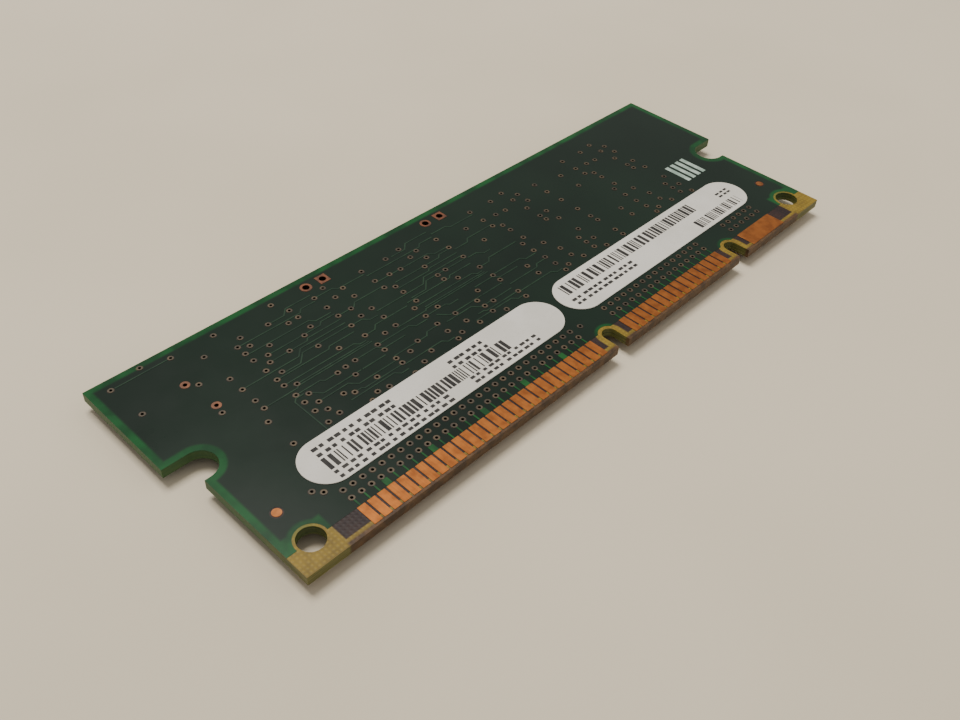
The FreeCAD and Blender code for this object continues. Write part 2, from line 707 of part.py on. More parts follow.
def solder_mask(name, level, copper, windows=()):
    """A face's mask, beside its copper: open at rings, marks, holes, key slots and lands."""
    gap = d.mask_gap
    sheet_body = board_layer(name + "_sheet", level, d.mask_thickness, CONTACT_TOP, keyed=False)
    openings = [
        contact_row_posts(name + "_contact_vias", d.via_pad_radius + gap),
        posts(name + "_field_vias", FIELD_VIAS, d.via_pad_radius + gap, held=False),
        posts(name + "_power_vias", POWER_PLACES, d.power_pad_radius + gap),
        posts(name + "_header", HEADER_ROUND, d.header_pad_width / 2 + gap),
        posts(name + "_marks", FIDUCIALS, d.fiducial_radius + gap * 3),
        posts(name + "_corners", CORNER_HOLES, d.corner_hole_radius + d.hole_margin),
        posts(name + "_keys", [(x, SLOT_ROUND) for x in KEY_SLOTS],
              SLOT_RADIUS + d.hole_margin * 1.5),
    ]
    width = d.header_pad_width + gap * 2
    for number, (x, y) in enumerate(HEADER_SQUARE):
        openings.append(block(f"{name}_square_{number}", x, EDGE + y, 0, width, width, THROUGH))
    openings += windows
    openings += copper
    return node(cut(name, sheet_body, openings), name)


# ---- plated holes ----------------------------------------------------------------------------

def barrel(name, hole, ring):
    """A plated hole at the origin: a tube with a ring on each face of the board."""
    body = new_body(name)
    sketch = new_sketch(body, "XZ_Plane")
    wall = hole + d.via_wall
    outline(sketch, ((hole, SEAT), (ring, SEAT), (ring, LAMINATE), (wall, LAMINATE),
                     (wall, TOP), (ring, TOP), (ring, COPPER_TOP), (hole, COPPER_TOP)))
    turn = body.newObject("PartDesign::Revolution", name + "_turn")
    turn.Profile = sketch
    turn.ReferenceAxis = (sketch, ["V_Axis"])
    turn.Angle = 360
    return body, turn


def barrels_at(name, master, places):
    return [moved(f"{name}_{number}", master, x, EDGE + y) for number, (x, y) in enumerate(places)]


rows = []
for letter, (start, count) in zip("abc", GROUPS):
    row, turn = barrel("contact_barrels_" + letter, d.via_hole_radius, d.via_pad_radius)
    bind(row, x=start, y=EDGE + d.near_row)
    repeat(row, turn, count, d.contact_pitch, rows=2, row_gap=d.far_row - d.near_row)
    rows.append(row)
node(group("contact_vias", rows), "contact_vias")
via, _ = barrel("via", d.via_hole_radius, d.via_pad_radius)
node(group("field_vias", barrels_at("field_via", via, FIELD_VIAS)), "field_vias")
power_via, _ = barrel("power_via", d.power_hole_radius, d.power_pad_radius)
node(group("power_vias", barrels_at("power_barrel", power_via, POWER_PLACES)), "power_vias")


def square_barrel(name):
    """A header hole whose lands are square."""
    body = new_body(name)
    half = d.header_pad_width / 2
    outer = d.header_hole_radius + d.via_wall
    for low, high, square in ((SEAT, LAMINATE, True), (LAMINATE, TOP, False), (TOP, COPPER_TOP, True)):
        sketch = new_sketch(body)
        bind_offset(sketch, low)
        if square:
            rectangle(sketch, -half, -half, half, half)
        else:
            circles(sketch, [(0.0, 0.0)], outer)
        circles(sketch, [(0.0, 0.0)], d.header_hole_radius)
        pad(body, sketch, high - low)
    return body


def bind_offset(sketch, level):
    """Lift a sketch above the plane that it is attached to."""
    sketch.setExpression("AttachmentOffset.Base.z", level.formula)


round_header, _ = barrel("header_round", d.header_hole_radius, d.header_pad_width / 2)
square_header = square_barrel("header_square")
header = barrels_at("round_barrel", round_header, HEADER_ROUND)
header += barrels_at("square_barrel", square_header, HEADER_SQUARE)
node(group("header_barrels", header), "header_barrels")


# ---- leaded packages -------------------------------------------------------------------------

def strip_along(name, points, width, count, pitch):
    """Equal strips in a row along Y: a section in XZ, as wide as asked, repeated about the middle."""
    body = new_body(name, y=-(count - 1) * pitch / 2)
    sketch = new_sketch(body, "XZ_Plane")
    outline(sketch, points)
    feature = pad(body, sketch, width)
    feature.Midplane = True
    repeat(body, feature, count, pitch, axis="Y_Axis")
    return body


def both_sides(name, row):
    """A row of pieces and its twin, turned half round."""
    return group(name, [row, moved(name + "_far", row, turn=180)])


def mould(name, length, width, thickness):
    """Moulded body: two tapered halves about the parting plane, with a dimple at the first lead."""
    body = new_body(name, z=thickness / 2)
    for backwards in (False, True):
        sketch = new_sketch(body)
        rectangle(sketch, -width / 2, -length / 2, width / 2, length / 2)
        pad(body, sketch, thickness / 2, taper=-d.mould_taper.value, backwards=backwards)
    return body


def leaded_package(name, p):
    """Masters of one leaded package, lying on its top with its feet on the board's copper."""
    t = d.lead_thickness
    middle = p.thickness / 2
    tip = p.width / 2 - p.inside
    knee = p.width / 2 + d.lead_knee
    toe = p.span / 2
    heel = toe - d.foot_length
    bend = d.lead_bend
    lead = ((tip, middle - t / 2), (knee + bend, middle - t / 2), (heel + bend, SEAT - t),
            (toe, SEAT - t), (toe, SEAT), (heel - bend, SEAT),
            (knee - bend, middle + t / 2), (tip, middle + t / 2))
    land = ((heel - d.land_margin, SEAT), (toe + d.land_margin, SEAT),
            (toe + d.land_margin, LAMINATE), (heel - d.land_margin, LAMINATE))
    fillet = ((toe, SEAT - t * 0.8), (toe + d.solder_reach, SEAT), (toe, SEAT))
    leads = both_sides(name + "_leads", strip_along(name + "_lead_row", lead, p.lead_width,
                                                    p.count, p.pitch))
    lands = both_sides(name + "_lands", strip_along(name + "_land_row", land, p.lead_width * 1.2,
                                                    p.count, p.pitch))
    solder = both_sides(name + "_solder", strip_along(name + "_solder_row", fillet, p.lead_width,
                                                      p.count, p.pitch))
    die = block(name + "_die", 0, 0, middle - t / 2 - d.die_thickness + DOWNSET, p.die_width,
                p.die_length, d.die_thickness)
    paddle = block(name + "_paddle", 0, 0, middle - t / 2 + DOWNSET, p.die_width + d.paddle_margin * 2,
                   p.die_length + d.paddle_margin * 2, t)
    wires = bond_wires(name + "_wires", p, middle, tip)
    dimple = post(name + "_dimple", -p.width / 2 + p.dimple * 2, -p.length / 2 + p.dimple * 2, 0,
                  p.dimple, 0.05)
    body = cut(name + "_body", mould(name + "_mould", p.length, p.width, p.thickness),
               [leads, die, paddle, dimple])
    body = cut(name + "_filled", body, [wires])
    return SimpleNamespace(body=body, leads=leads, lands=lands, solder=solder, die=die,
                           paddle=paddle, wires=wires)


# The paddle and its die sit nearer the board than the leads do.
DOWNSET = d.lead_thickness * 1.5


def bond_wires(name, p, middle, tip):
    """Gold wires from the die's edge up and over to the lead tips, as thin bent rods."""
    face = (middle - d.lead_thickness / 2 - d.die_thickness + DOWNSET).value
    lead_face = (middle - d.lead_thickness / 2).value
    crest = lead_face / 2
    radius = d.wire_radius.value
    count = int(p.count.value)
    start_x = p.die_width.value / 2 - 0.25
    end_x = tip.value + 0.15
    step = (p.die_length.value - 0.6) / (count - 1)
    rods = []
    for index in range(count):
        offset = index - (count - 1) / 2
        start = FreeCAD.Vector(start_x, offset * step, face)
        end = FreeCAD.Vector(end_x, offset * p.pitch.value, lead_face)
        crown = start + (end - start) * 0.35
        crown.z = crest
        path = Part.makePolygon([start, crown, end])
        section = Part.Wire(Part.makeCircle(radius, start, crown - start))
        rods.append(path.makePipeShell([section], True, False, 1))
    half_turn = FreeCAD.Rotation(FreeCAD.Vector(0, 0, 1), 180)
    twins = [rod.copy() for rod in rods]
    for twin in twins:
        twin.Placement = FreeCAD.Placement(FreeCAD.Vector(), half_turn)
    wires = doc.addObject("Part::Feature", name)
    wires.Shape = Part.makeCompound(rods + twins)
    wires.Placement = FreeCAD.Placement()
    return wires


MEMORY_SIZES = SimpleNamespace(
    length=d.package_length, width=d.package_width, thickness=d.package_thickness,
    pitch=d.lead_pitch, count=d.leads_per_side, lead_width=d.lead_width, span=d.lead_span,
    inside=d.lead_inside, die_length=d.package_length - d.die_from_end * 2,
    die_width=d.package_width - d.die_from_side * 2, dimple=0.5)
SERIAL_SIZES = SimpleNamespace(
    length=d.serial_length, width=d.serial_width, thickness=d.serial_thickness,
    pitch=d.serial_pitch, count=d.serial_leads_per_side, lead_width=d.serial_lead_width,
    span=d.serial_span, inside=d.serial_inside, die_length=d.serial_length - d.serial_die_from_end * 2,
    die_width=d.serial_width - d.serial_die_from_side * 2, dimple=0.25)
memory = leaded_package("thin_package", MEMORY_SIZES)
serial = leaded_package("small_package", SERIAL_SIZES)
PACKAGE_Y = EDGE + d.package_middle
memory_lands, memory_solder = [], []
for number, x in enumerate(PACKAGES, 1):
    for piece, name in (("body", "memory_body"), ("leads", "memory_leads"), ("die", "memory_die"),
                        ("paddle", "die_paddle"), ("wires", "bond_wires")):
        name = f"{name}_{number}"
        node(moved(name, getattr(memory, piece), x, PACKAGE_Y), name)
    memory_lands.append(moved(f"lands_{number}", memory.lands, x, PACKAGE_Y))
    memory_solder.append(moved(f"solder_{number}", memory.solder, x, PACKAGE_Y))
node(group("memory_lands", memory_lands), "memory_lands")
node(group("memory_solder", memory_solder), "memory_solder")

SERIAL_Y = EDGE + d.serial_middle
for piece in ("body", "leads", "die"):
    name = "serial_" + piece
    node(moved(name, getattr(serial, piece), d.serial_x, SERIAL_Y), name)
serial_inside = [moved("serial_paddle", serial.paddle, d.serial_x, SERIAL_Y),
                 moved("serial_wires", serial.wires, d.serial_x, SERIAL_Y)]
node(group("serial_paddle_and_wires", serial_inside), "serial_paddle_and_wires")


# ---- small parts -----------------------------------------------------------------------------

CAPACITOR_HEIGHTS = (14.3, 21.2)
CAPACITORS = [(x + d.capacitor_from_package, EDGE + y) for x in PACKAGES for y in CAPACITOR_HEIGHTS]
PACKS_A = int(d.contacts_a.value // d.resistors_per_pack.value)
PACKS_B = int(d.contacts_b.value // d.resistors_per_pack.value)
RESISTOR_PACKS = [(pack_middle(START_A, pack), EDGE + d.resistor_middle) for pack in range(PACKS_A)]
RESISTOR_PACKS += [(pack_middle(START_B, pack), EDGE + d.resistor_middle) for pack in range(PACKS_B)]


def fillet_bar(name, foot, width, tall):
    """Solder against an end face at foot along +X: three-sided, as wide as its part."""
    body = new_body(name)
    sketch = new_sketch(body, "XZ_Plane")
    outline(sketch, ((foot, SEAT - tall), (foot + d.solder_reach, SEAT), (foot, SEAT)))
    pad(body, sketch, width).Midplane = True
    return body


def ends(name, item, turn=0.0):
    """An end piece made for +X, and its twin at the other end."""
    return group(name, [moved(name + "_one", item, turn=turn), moved(name + "_two", item, turn=turn + 180)])


def spread(name, item, places):
    """The same piece at each of several places."""
    return group(name, [moved(f"{name}_{number}", item, x, y) for number, (x, y) in enumerate(places)])


# A capacitor lies along the board's height.
cap_level = SEAT - d.capacitor_thickness
cap_middle = d.capacitor_length / 2 - d.capacitor_cap / 2
ceramic = block("ceramic", 0, 0, cap_level, d.capacitor_width, d.capacitor_length - d.capacitor_cap * 2,
                d.capacitor_thickness)
end_cap = block("end_cap", cap_middle, 0, cap_level, d.capacitor_cap, d.capacitor_width,
                d.capacitor_thickness)
cap_land = block("cap_land", cap_middle + d.land_margin / 2, 0, SEAT,
                 d.capacitor_cap + d.land_margin, d.capacitor_width, d.foil_thickness)
cap_solder = fillet_bar("cap_solder", d.capacitor_length / 2, d.capacitor_width,
                        d.capacitor_thickness / 2)
node(spread("capacitor_bodies", ceramic, CAPACITORS), "capacitor_bodies")
node(spread("capacitor_end_caps", ends("cap_pair", end_cap, 90), CAPACITORS), "capacitor_end_caps")

# A resistor pack lies along the contact edge, with its ends in two rows.
pack_level = SEAT - d.resistor_thickness
alumina = block("alumina", 0, 0, pack_level, d.resistor_length,
                d.resistor_width - d.resistor_cap * 2, d.resistor_thickness)
coating = block("coating", 0, 0, pack_level - d.coating_thickness, d.resistor_length * 0.9,
                (d.resistor_width - d.resistor_cap * 2) * 0.9, d.coating_thickness)


def pack_row(name, low, high, level, thickness):
    """One row of a pack's ends or lands, from low to high along Y."""
    pitch = d.resistor_pitch
    count = d.resistors_per_pack
    body = new_body(name, x=-(count - 1) * pitch / 2, z=level)
    sketch = new_sketch(body)
    half = d.resistor_cap_width / 2
    rectangle(sketch, -half, low, half, high)
    repeat(body, pad(body, sketch, thickness), count, pitch)
    return both_sides(name + "_pair", body)


pack_edge = d.resistor_width / 2
pack_ends = pack_row("pack_ends", pack_edge - d.resistor_cap, pack_edge, pack_level,
                     d.resistor_thickness)
pack_lands = pack_row("pack_lands", pack_edge - d.resistor_cap, pack_edge + d.land_margin, SEAT,
                      d.foil_thickness)
node(spread("resistor_bodies", alumina, RESISTOR_PACKS), "resistor_bodies")
node(spread("resistor_coatings", coating, RESISTOR_PACKS), "resistor_coatings")
node(spread("resistor_end_caps", pack_ends, RESISTOR_PACKS), "resistor_end_caps")
small_lands = [
    spread("capacitor_lands", ends("cap_lands", cap_land, 90), CAPACITORS),
    spread("resistor_lands", pack_lands, RESISTOR_PACKS),
    moved("serial_lands", serial.lands, d.serial_x, SERIAL_Y),
]
node(group("small_part_lands", small_lands), "small_part_lands")
small_solder = [
    spread("capacitor_solder", ends("cap_fillets", cap_solder, 90), CAPACITORS),
    moved("serial_solder", serial.solder, d.serial_x, SERIAL_Y),
]
node(group("small_part_solder", small_solder), "small_part_solder")



def window(name, x, y, length, width):
    """A mask opening round a row of lands, as large as the row and the mask's gap."""
    return block(name, x, y, 0, length + d.mask_gap * 2, width + d.mask_gap * 2, SEAT)


def lead_windows(name, p, x, y):
    """One opening along each of a package's two rows of lands."""
    reach = d.foot_length + d.land_margin * 2
    middle = p.span / 2 - d.foot_length / 2
    long = (p.count - 1) * p.pitch + p.lead_width * 1.2
    return [window(f"{name}_{side}", x + middle * side, y, reach, long) for side in (-1, 1)]


windows = []
for number, x in enumerate(PACKAGES):
    windows += lead_windows(f"package_window_{number}", MEMORY_SIZES, x, PACKAGE_Y)
windows += lead_windows("serial_window", SERIAL_SIZES, d.serial_x, SERIAL_Y)
for number, (x, y) in enumerate(CAPACITORS):
    for side in (-1, 1):
        windows.append(window(f"capacitor_window_{number}_{side}", x,
                              y + (cap_middle + d.land_margin / 2) * side, d.capacitor_width,
                              d.capacitor_cap + d.land_margin))
pack_reach = d.resistor_cap + d.land_margin
pack_long = (d.resistors_per_pack - 1) * d.resistor_pitch + d.resistor_cap_width
for number, (x, y) in enumerate(RESISTOR_PACKS):
    for side in (-1, 1):
        windows.append(window(f"resistor_window_{number}_{side}", x,
                              y + (pack_edge - d.resistor_cap + pack_reach / 2) * side, pack_long,
                              pack_reach))

solder_mask("upper_solder_mask", TOP, [upper_tails, upper_traces])
solder_mask("lower_solder_mask", LOWER_MASK, [lower_tails, lower_traces], windows)


# ---- labels and printed marks ----------------------------------------------------------------

def label(name, x):
    """A paper label with fully round ends, resting on the copper that stands out of the mask."""
    radius = d.label_height / 2
    straight = d.label_length - d.label_height
    y = EDGE + d.label_middle
    pieces = [block(name + "_middle", x, y, COPPER_TOP, straight, d.label_height, d.label_thickness)]
    for side in (-1, 1):
        pieces.append(post(f"{name}_end_{side}", x + straight / 2 * side, y, COPPER_TOP, radius,
                           d.label_thickness))
    whole = doc.addObject("Part::MultiFuse", name)
    whole.Shapes = pieces
    whole.Refine = True
    return node(whole, name)


label_step = (d.label_length + d.label_gap) / 2
label("left_label", d.label_shift - label_step)
label("right_label", d.label_shift + label_step)

bars = []
for number in range(4):
    x = d.mark_x + (d.mark_length - d.mark_bar) * (number / 3 - 0.5)
    bars.append(block(f"mark_bar_{number}", x, EDGE + d.mark_middle, INK, d.mark_bar,
                      d.mark_length, d.ink_thickness))
node(group("upper_silkscreen", bars), "upper_silkscreen")
dots = []
for number, x in enumerate(PACKAGES):
    level = LOWER_MASK - d.ink_thickness
    dots.append(post(f"first_lead_dot_{number}", x - d.lead_span / 2 - d.dot_gap,
                     PACKAGE_Y - d.package_length / 2, level, d.dot_radius, d.ink_thickness))
    for side in (-1, 1):
        y = PACKAGE_Y + (d.package_length / 2 + d.end_line_gap) * side
        dots.append(block(f"end_line_{number}_{side}", x, y, level, d.package_width * 0.45,
                          d.end_line_width, d.ink_thickness))
node(group("lower_silkscreen", dots), "lower_silkscreen")


# ---- write the sub-parts ---------------------------------------------------------------------

doc.recompute()
for item in doc.Objects:
    if "Invalid" in item.State or "Error" in item.State:
        raise RuntimeError(f"{item.Name} failed: {item.State}")
os.makedirs("parts", exist_ok=True)
for item in nodes:
    if item.Shape.isNull() or not item.Shape.isValid():
        raise RuntimeError(f"{item.Label} has no valid shape")
for item in nodes:
    item.Shape.exportStep(f"parts/{item.Label}.step")
    print(item.Label, len(item.Shape.Solids), round(item.Shape.Volume, 3))
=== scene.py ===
"""Looks of the memory module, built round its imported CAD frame. Sizes are metres unless a name says mm."""

import math
import random

import bmesh
import bpy
from mathutils import Matrix, Vector


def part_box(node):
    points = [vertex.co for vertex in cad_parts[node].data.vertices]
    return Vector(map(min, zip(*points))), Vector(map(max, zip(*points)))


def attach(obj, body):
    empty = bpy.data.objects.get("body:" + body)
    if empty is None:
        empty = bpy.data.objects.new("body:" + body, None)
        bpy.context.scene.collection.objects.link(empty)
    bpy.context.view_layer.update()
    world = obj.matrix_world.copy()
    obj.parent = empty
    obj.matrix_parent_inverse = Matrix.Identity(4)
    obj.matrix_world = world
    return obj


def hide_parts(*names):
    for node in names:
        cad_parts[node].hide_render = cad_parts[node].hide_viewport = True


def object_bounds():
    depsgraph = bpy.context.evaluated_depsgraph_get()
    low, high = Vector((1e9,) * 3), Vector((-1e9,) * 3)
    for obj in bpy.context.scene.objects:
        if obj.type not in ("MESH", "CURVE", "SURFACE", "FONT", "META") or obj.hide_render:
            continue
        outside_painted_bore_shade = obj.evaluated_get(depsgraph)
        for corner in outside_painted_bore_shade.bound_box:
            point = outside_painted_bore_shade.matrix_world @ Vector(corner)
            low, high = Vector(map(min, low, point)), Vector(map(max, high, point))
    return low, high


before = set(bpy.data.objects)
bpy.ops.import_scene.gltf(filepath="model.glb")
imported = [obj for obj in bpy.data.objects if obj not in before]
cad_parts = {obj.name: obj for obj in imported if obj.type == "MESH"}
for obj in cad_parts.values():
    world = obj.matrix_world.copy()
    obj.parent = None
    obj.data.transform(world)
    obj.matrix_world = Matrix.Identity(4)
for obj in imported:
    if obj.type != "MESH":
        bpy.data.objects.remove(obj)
cad_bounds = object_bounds()

MM = 0.001

# ---- places read from the frame --------------------------------------------------------------

LOW, HIGH = cad_bounds
HALF_LENGTH = (HIGH.x - LOW.x) / 2
EDGE = LOW.y
LAMINATE_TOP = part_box("upper_prepreg")[1].z
LAMINATE_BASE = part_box("lower_prepreg")[0].z

# The rest of the board's outline, and the inner planes behind it.
SHOULDER = 45.085 * MM
NOTCH_HEIGHT = EDGE + 17.8 * MM
NOTCH_X = 44.385 * MM
NOTCH_RADIUS = 2.0 * MM
HOLE_X = 42.085 * MM
HOLE_Y = EDGE + 3.15 * MM
HOLE_RADIUS = 1.5 * MM
SLOT_X = (1.27 * MM, 26.67 * MM)
SLOT_Y = EDGE + 2.1 * MM
SLOT_RADIUS = 1.0 * MM
PLANE_SETBACK = 0.8 * MM
TONGUE = 39.8 * MM
TONGUE_EDGE = EDGE + 0.85 * MM
PLANE_SHOULDER = EDGE + 4.9 * MM


def srgb(red, green, blue):
    """A colour from 8-bit display values, as the linear values that shaders take."""
    def linear(value):
        share = value / 255
        return share / 12.92 if share <= 0.04045 else ((share + 0.055) / 1.055) ** 2.4
    return (linear(red), linear(green), linear(blue), 1.0)


# ---- materials -------------------------------------------------------------------------------


class Finish:
    """A material being made: its methods add shader nodes and hand back their outputs."""

    def __init__(self, name):
        self.material = bpy.data.materials.new(name)
        self.material.use_nodes = True
        self.tree = self.material.node_tree
        self.shader = self.tree.nodes["Principled BSDF"]
        self.place = self.tree.nodes.new("ShaderNodeTexCoord").outputs["Object"]
        axes = self.add("ShaderNodeSeparateXYZ", {"Vector": self.place})
        self.x, self.y, self.z = axes.outputs

    def feed(self, socket, value):
        """Link an output to a socket, or set the socket to a plain value."""
        if isinstance(value, bpy.types.NodeSocket):
            self.tree.links.new(value, socket)
        else:
            socket.default_value = value

    def add(self, kind, inputs, **settings):
        item = self.tree.nodes.new(kind)
        for name, value in settings.items():
            setattr(item, name, value)
        for name, value in inputs.items():
            self.feed(item.inputs[name], value)
        return item

    def math(self, operation, first, second=0.0, third=0.0):
        inputs = {0: first, 1: second, 2: third}
        return self.add("ShaderNodeMath", inputs, operation=operation).outputs[0]

    def distance(self, across, along):
        """Length of a vector in the board's plane, from its two parts."""
        squares = [self.math("MULTIPLY", part, part) for part in (across, along)]
        return self.math("SQRT", self.math("ADD", *squares))

    def rise(self, value, start, end):
        """0 below start, 1 above end, smooth between them."""
        inputs = {"Value": value, "From Min": start, "From Max": end}
        return self.add("ShaderNodeMapRange", inputs, interpolation_type="SMOOTHSTEP").outputs[0]

    def noise(self, scale, detail=3.0, stretch=(1.0, 1.0, 1.0)):
        """Noise with about scale lumps in a metre, drawn out along the axes by stretch."""
        vector = self.add("ShaderNodeMapping", {"Vector": self.place, "Scale": stretch}).outputs[0]
        inputs = {"Vector": vector, "Scale": scale, "Detail": detail}
        return self.add("ShaderNodeTexNoise", inputs).outputs["Fac"]

    def mix(self, share, first, second):
        """A colour between two: the first at share 0, the second at share 1."""
        item = self.tree.nodes.new("ShaderNodeMix")
        item.data_type = "RGBA"
        self.feed(item.inputs[0], share)
        self.feed(item.inputs[6], first)
        self.feed(item.inputs[7], second)
        return item.outputs[2]

    def varied(self, colour, darker, noise, low=0.35, high=0.65):
        """A colour that noise turns darker in places."""
        return self.mix(self.rise(noise, low, high), darker, colour)

    def bump(self, height, depth):
        """Raise and lower the surface as it is shaded, by up to depth."""
        inputs = {"Height": height, "Strength": 1.0, "Distance": depth}
        self.feed(self.shader.inputs["Normal"], self.add("ShaderNodeBump", inputs).outputs[0])

    def set(self, colour, roughness, metallic=0.0, specular=0.5):
        """Give the shader its values, and hand back the finished material."""
        self.feed(self.shader.inputs["Base Color"], colour)
        self.feed(self.shader.inputs["Roughness"], roughness)
        self.feed(self.shader.inputs["Metallic"], metallic)
        self.feed(self.shader.inputs["Specular IOR Level"], specular)
        return self.material


def smallest(finish, values):
    """The least of several values."""
    result = values[0]
    for value in values[1:]:
        result = finish.math("MINIMUM", result, value)
    return result


def over_plane(finish, blur):
    """1 where an inner copper plane lies under a point of the board's face, 0 where none does."""
    x = finish.math("ABSOLUTE", finish.x)
    upper = finish.rise(finish.y, NOTCH_HEIGHT - 0.1 * MM, NOTCH_HEIGHT + 0.1 * MM)
    half = finish.math("MULTIPLY_ADD", upper, HALF_LENGTH - SHOULDER, SHOULDER)
    side = finish.math("SUBTRACT", half, x)
    far = finish.math("SUBTRACT", HIGH.y, finish.y)
    notch_x = finish.math("MAXIMUM", finish.math("SUBTRACT", NOTCH_X, x), 0.0)
    notch_y = finish.math("SUBTRACT", finish.y, NOTCH_HEIGHT)
    notch = finish.math("SUBTRACT", finish.distance(notch_x, notch_y), NOTCH_RADIUS)
    hole_x = finish.math("SUBTRACT", x, HOLE_X)
    hole_y = finish.math("SUBTRACT", finish.y, HOLE_Y)
    hole = finish.math("SUBTRACT", finish.distance(hole_x, hole_y), HOLE_RADIUS)
    slots = []
    for slot_x in SLOT_X:
        across = finish.math("SUBTRACT", finish.x, slot_x)
        along = finish.math("MAXIMUM", finish.math("SUBTRACT", finish.y, SLOT_Y), 0.0)
        slots.append(finish.math("SUBTRACT", finish.distance(across, along), SLOT_RADIUS))
    shoulder = finish.math("SUBTRACT", finish.y, PLANE_SHOULDER - PLANE_SETBACK)
    tongue = smallest(finish, [finish.math("SUBTRACT", TONGUE + PLANE_SETBACK, x),
                               finish.math("SUBTRACT", finish.y, TONGUE_EDGE - PLANE_SETBACK)])
    base = finish.math("MAXIMUM", shoulder, tongue)
    nearest = smallest(finish, [side, far, notch, hole, base] + slots)
    return finish.rise(nearest, PLANE_SETBACK - blur, PLANE_SETBACK + blur)


def mask_finish():
    """Glossy green mask: nearly black over the planes, bright round the rim where there is none."""
    finish = Finish("solder_mask")
    over = finish.varied(srgb(20, 36, 27), srgb(15, 28, 22), finish.noise(60), 0.2, 0.8)
    rim = finish.varied(srgb(17, 76, 36), srgb(12, 54, 28), finish.noise(300))
    colour = finish.mix(over_plane(finish, 0.2 * MM), rim, over)
    finish.bump(finish.noise(1400, 3.0), 0.003 * MM)
    roughness = finish.add("ShaderNodeMapRange", {"Value": finish.noise(200), "To Min": 0.24,
                                                  "To Max": 0.36}).outputs[0]
    return finish.set(colour, roughness, specular=0.18)


def coated_finish(name, light, dark):
    """Copper under the mask, seen as a slightly paler green."""
    finish = Finish(name)
    colour = finish.varied(light, dark, finish.noise(700))
    finish.bump(finish.noise(1400, 3.0), 0.003 * MM)
    return finish.set(colour, 0.34, specular=0.18)


def laminate_finish():
    """Bare glass-epoxy: yellow-olive, with its weave, darker where a plane lies under it, and painted shade
    in brown along the contact edge.
    """
    finish = Finish("glass_epoxy")
    weave = []
    for direction in ("X", "Y"):
        inputs = {"Vector": finish.place, "Scale": 620.0, "Distortion": 1.2, "Detail": 1.0}
        wave = finish.add("ShaderNodeTexWave", inputs, bands_direction=direction)
        weave.append(wave.outputs["Fac"])
    crossed = finish.math("MULTIPLY", *weave)
    bare = finish.varied(srgb(124, 102, 28), srgb(102, 83, 22), finish.noise(420))
    bare = finish.mix(finish.math("MULTIPLY", crossed, 0.35), bare, srgb(158, 135, 52))
    green = finish.rise(finish.y, EDGE + 3.2 * MM, EDGE + 6.0 * MM)
    bare = finish.mix(finish.math("MULTIPLY", green, 0.8), bare, srgb(58, 92, 40))
    shade = finish.varied(srgb(46, 30, 26), srgb(34, 22, 22), finish.noise(500))
    top = finish.mix(over_plane(finish, 0.1 * MM), bare, shade)
    # Painted shade: the top face within half a millimetre of the contact edge is coloured brown, as if in
    # shadow.
    span = finish.rise(finish.math("ABSOLUTE", finish.x), TONGUE + 0.4 * MM, TONGUE)
    edge = finish.rise(finish.y, EDGE + 0.6 * MM, EDGE + 0.3 * MM)
    contact_edge_shade_mask = finish.math("MULTIPLY", span, edge)
    painted_edge_shade_brown = finish.varied(srgb(86, 62, 38), srgb(60, 43, 28), finish.noise(800))
    top = finish.mix(contact_edge_shade_mask, top, painted_edge_shade_brown)
    layers = finish.noise(900, 3.0, (0.25, 0.25, 7.0))
    wall = finish.varied(srgb(112, 108, 56), srgb(62, 66, 34), layers)
    low_wall = finish.rise(finish.y, EDGE - 0.1 * MM, EDGE + 9.0 * MM)
    wall = finish.mix(finish.math("MULTIPLY", low_wall, 0.85), wall, srgb(46, 84, 48))
    # Painted shade: the side wall along the contact edge is coloured the same shadow brown.
    wall = finish.mix(contact_edge_shade_mask, wall, painted_edge_shade_brown)
    normal = finish.tree.nodes.new("ShaderNodeNewGeometry").outputs["Normal"]
    facing = finish.add("ShaderNodeSeparateXYZ", {"Vector": normal}).outputs["Z"]
    flat = finish.rise(finish.math("ABSOLUTE", facing), 0.4, 0.8)
    finish.bump(crossed, 0.012 * MM)
    finish.feed(finish.shader.inputs["Subsurface Weight"], 0.15)
    finish.feed(finish.shader.inputs["Subsurface Radius"], (1.0, 0.8, 0.3))
    finish.feed(finish.shader.inputs["Subsurface Scale"], 0.4 * MM)
    return finish.set(finish.mix(flat, wall, top), 0.5, specular=0.25)


def metal_finish(name, light, dark, roughness, grain=(1.0, 1.0, 1.0), metallic=0.85, scale=900):
    """A plated or bare metal with stains and a fine grain along its worked direction."""
    finish = Finish(name)
    stains = finish.noise(scale)
    colour = finish.varied(light, dark, stains, 0.25, 0.7)
    lines = finish.noise(5000, 3.0, grain)
    finish.bump(lines, 0.006 * MM)
    rough = finish.math("MULTIPLY_ADD", lines, 0.25, roughness - 0.12)
    return finish.set(colour, rough, metallic)


def barrel_finish(name, light, dark):
    """Plated hole: its rings are dull, and its bore is painted near-black as painted shade."""
    finish = Finish(name)
    ring = finish.varied(light, dark, finish.noise(1500))
    above = finish.rise(finish.z, LAMINATE_TOP - 0.02 * MM, LAMINATE_TOP + 0.01 * MM)
    below = finish.rise(finish.z, LAMINATE_BASE - 0.01 * MM, LAMINATE_BASE + 0.02 * MM)
    outside_painted_bore_shade = finish.math("MAXIMUM", above, finish.math("SUBTRACT", 1.0, below))
    finish.bump(finish.noise(5000), 0.006 * MM)
    # Painted shade: between the laminate faces the bore is coloured near-black instead of its plating.
    return finish.set(finish.mix(outside_painted_bore_shade, srgb(28, 17, 12), ring), 0.5, 0.35)


def dull_finish(name, light, dark, roughness, grain, depth, specular=0.5):
    """A moulded, fired or printed surface with a fine grain."""
    finish = Finish(name)
    finish.bump(finish.noise(grain, 5.0), depth)
    colour = finish.varied(light, dark, finish.noise(grain / 5))
    return finish.set(colour, roughness, specular=specular)


